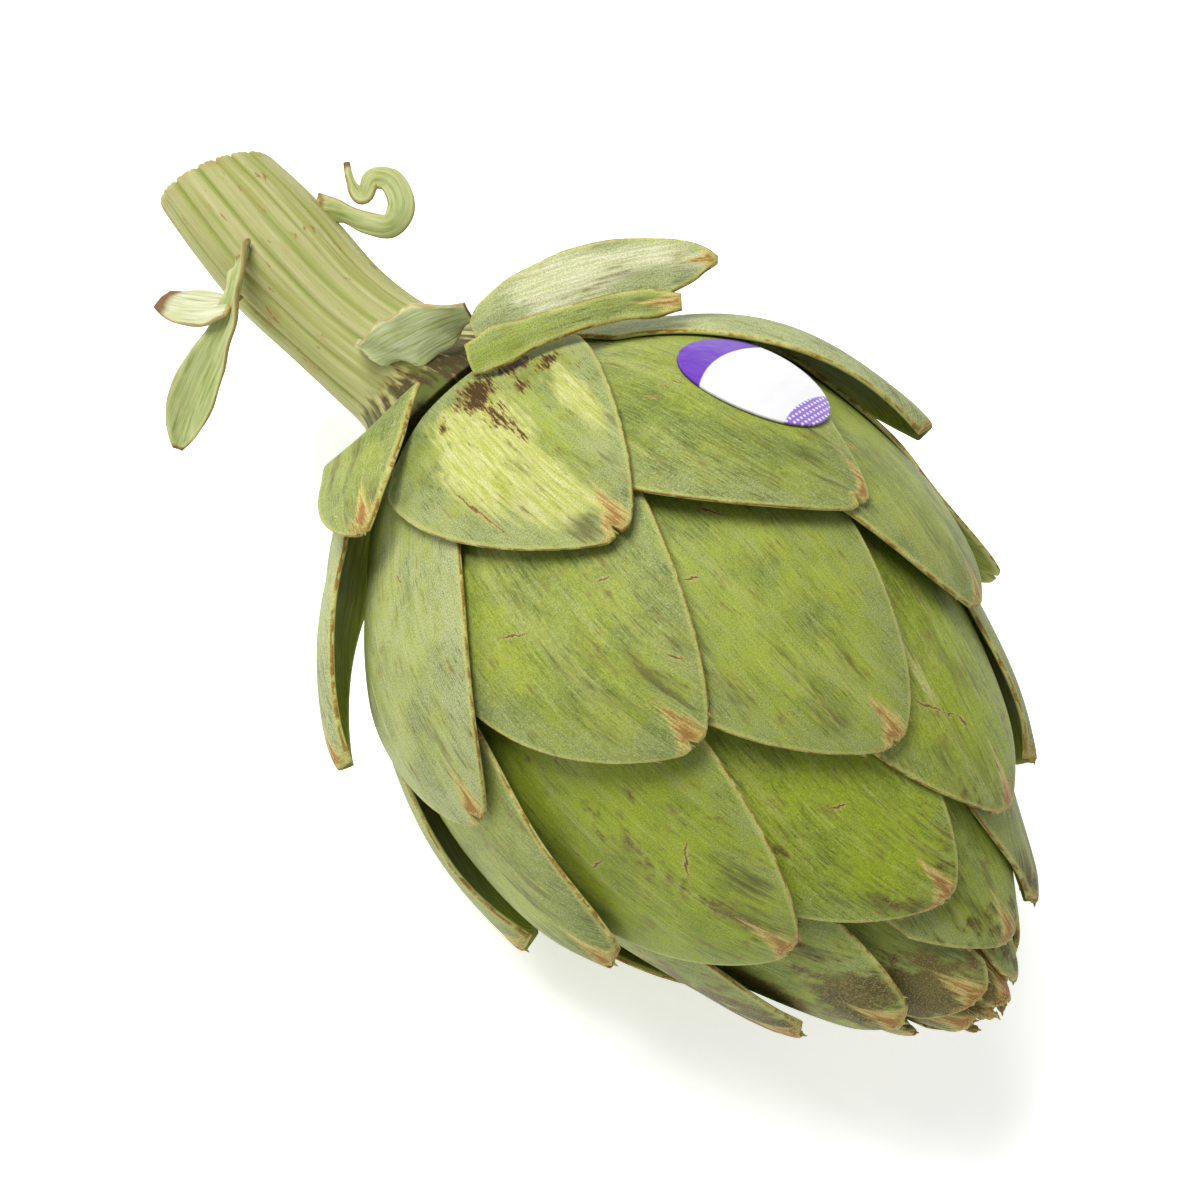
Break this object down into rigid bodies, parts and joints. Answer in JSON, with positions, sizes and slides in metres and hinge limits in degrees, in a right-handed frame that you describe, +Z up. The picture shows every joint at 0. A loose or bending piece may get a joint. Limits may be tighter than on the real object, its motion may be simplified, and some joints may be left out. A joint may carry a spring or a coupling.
{
  "type": "artichoke",
  "caption": "Globe artichoke lying on its side: pointed green bracts overlapping round an egg-shaped bud, a ribbed cut stem with curled leaves, and a small plain oval sticker.",
  "frame": {"origin": "on the ground, under the middle of the whole artichoke's box", "axes": "+Z up, +X along the bud from the stem towards the tip, the bud lying on its side"},
  "size_m": [0.186, 0.104, 0.0936],
  "materials": {
    "bract": "waxy leaf, satin, with fine lengthwise veins and a thin tan rim",
    "heart": "matt plant flesh",
    "stem": "matt, pale ribs with green grooves and tan scuffs",
    "leaf": "soft matt leaf",
    "sticker": "satin film, purple and white"
  },
  "bodies": {
    "root": {"bract_01": "bract", "bract_02": "bract", "bract_03": "bract", "bract_04": "bract", "bract_05": "bract", "bract_06": "bract", "bract_07": "bract", "bract_08": "bract", "bract_09": "bract", "bract_10": "bract", "bract_11": "bract", "bract_12": "bract", "bract_13": "bract", "bract_14": "bract", "bract_15": "bract", "bract_16": "bract", "bract_17": "bract", "bract_18": "bract", "bract_19": "bract", "bract_20": "bract", "bract_21": "bract", "bract_22": "bract", "bract_23": "bract", "bract_24": "bract", "bract_25": "bract", "bract_26": "bract", "bract_27": "bract", "bract_28": "bract", "bract_29": "bract", "bract_30": "bract", "bract_31": "bract", "bract_32": "bract", "bract_33": "bract", "bract_34": "bract", "bract_35": "bract", "bract_36": "bract", "bract_37": "bract", "bract_38": "bract", "bract_39": "bract", "bract_40": "bract", "bract_41": "bract", "heart": "heart", "stem": "stem", "base_leaf": "leaf", "stem_leaf_1": "leaf", "stem_leaf_2": "leaf", "sticker": "sticker"}
  },
  "joints": []
}
